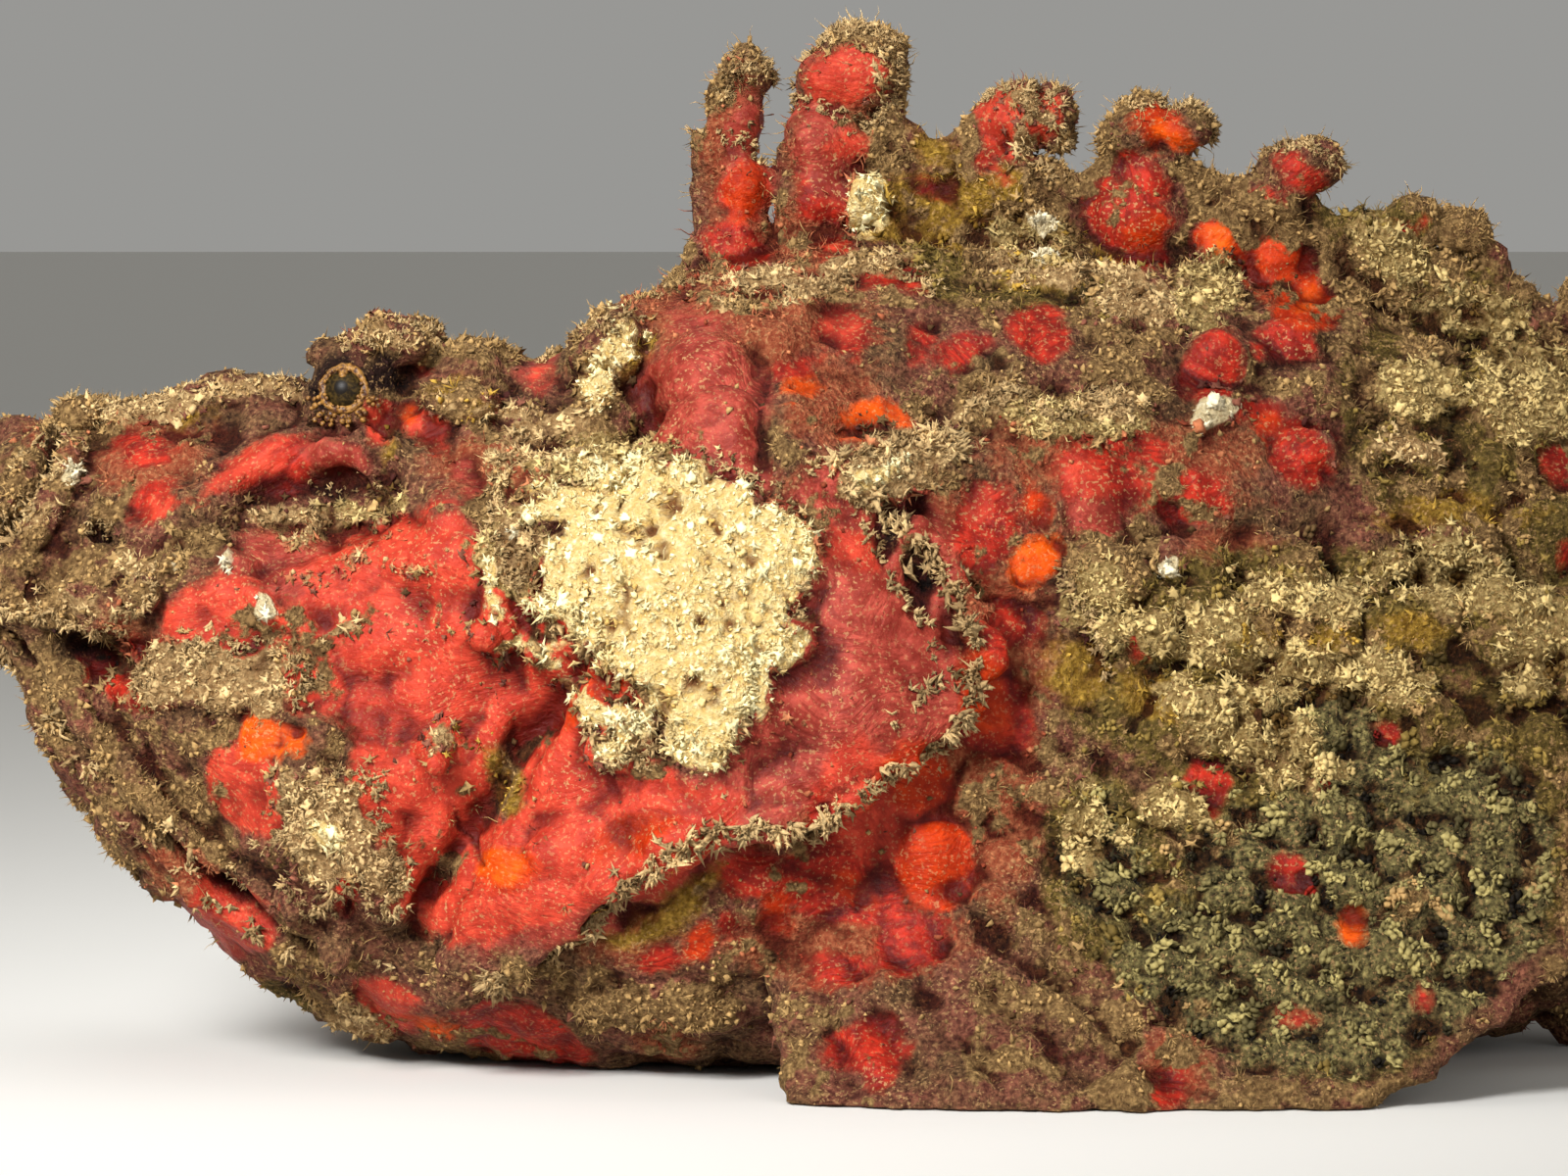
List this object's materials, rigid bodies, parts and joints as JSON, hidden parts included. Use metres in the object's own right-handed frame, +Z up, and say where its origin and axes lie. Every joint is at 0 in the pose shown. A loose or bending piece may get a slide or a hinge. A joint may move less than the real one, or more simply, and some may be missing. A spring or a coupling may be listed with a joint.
{
  "type": "stonefish",
  "caption": "Reef stonefish at rest on its belly, life size and still, with an upturned mouth, crested head, flared gill covers, fleshy dorsal spines and broad pectoral fins.",
  "frame": {"origin": "centre of the whole fish's outline seen from above, on the floor it rests on", "axes": "+X towards the tail, along the longest extent; the snout points to -X, the fish's left side faces -Y, and +Z is up"},
  "size_m": [0.3106, 0.1302, 0.1272],
  "materials": {
    "encrusted_skin": "rough, warty, red with cream and olive crusts",
    "crusted_fin": "rough, olive-grey crust with red patches",
    "eyeball": "glossy, dark olive brown with a golden rim"
  },
  "bodies": {
    "root": {"head": "encrusted_skin", "lower_jaw": "encrusted_skin", "eye_left": "eyeball", "eye_right": "eyeball", "gill_cover_left": "encrusted_skin", "gill_cover_right": "encrusted_skin", "trunk": "encrusted_skin", "tail_stalk": "encrusted_skin", "caudal_fin": "crusted_fin", "dorsal_fin_spiny": "crusted_fin", "dorsal_fin_soft": "crusted_fin", "anal_fin": "crusted_fin", "pectoral_fin_left": "crusted_fin", "pectoral_fin_right": "crusted_fin", "pelvic_fin_left": "crusted_fin", "pelvic_fin_right": "crusted_fin"}
  },
  "joints": []
}
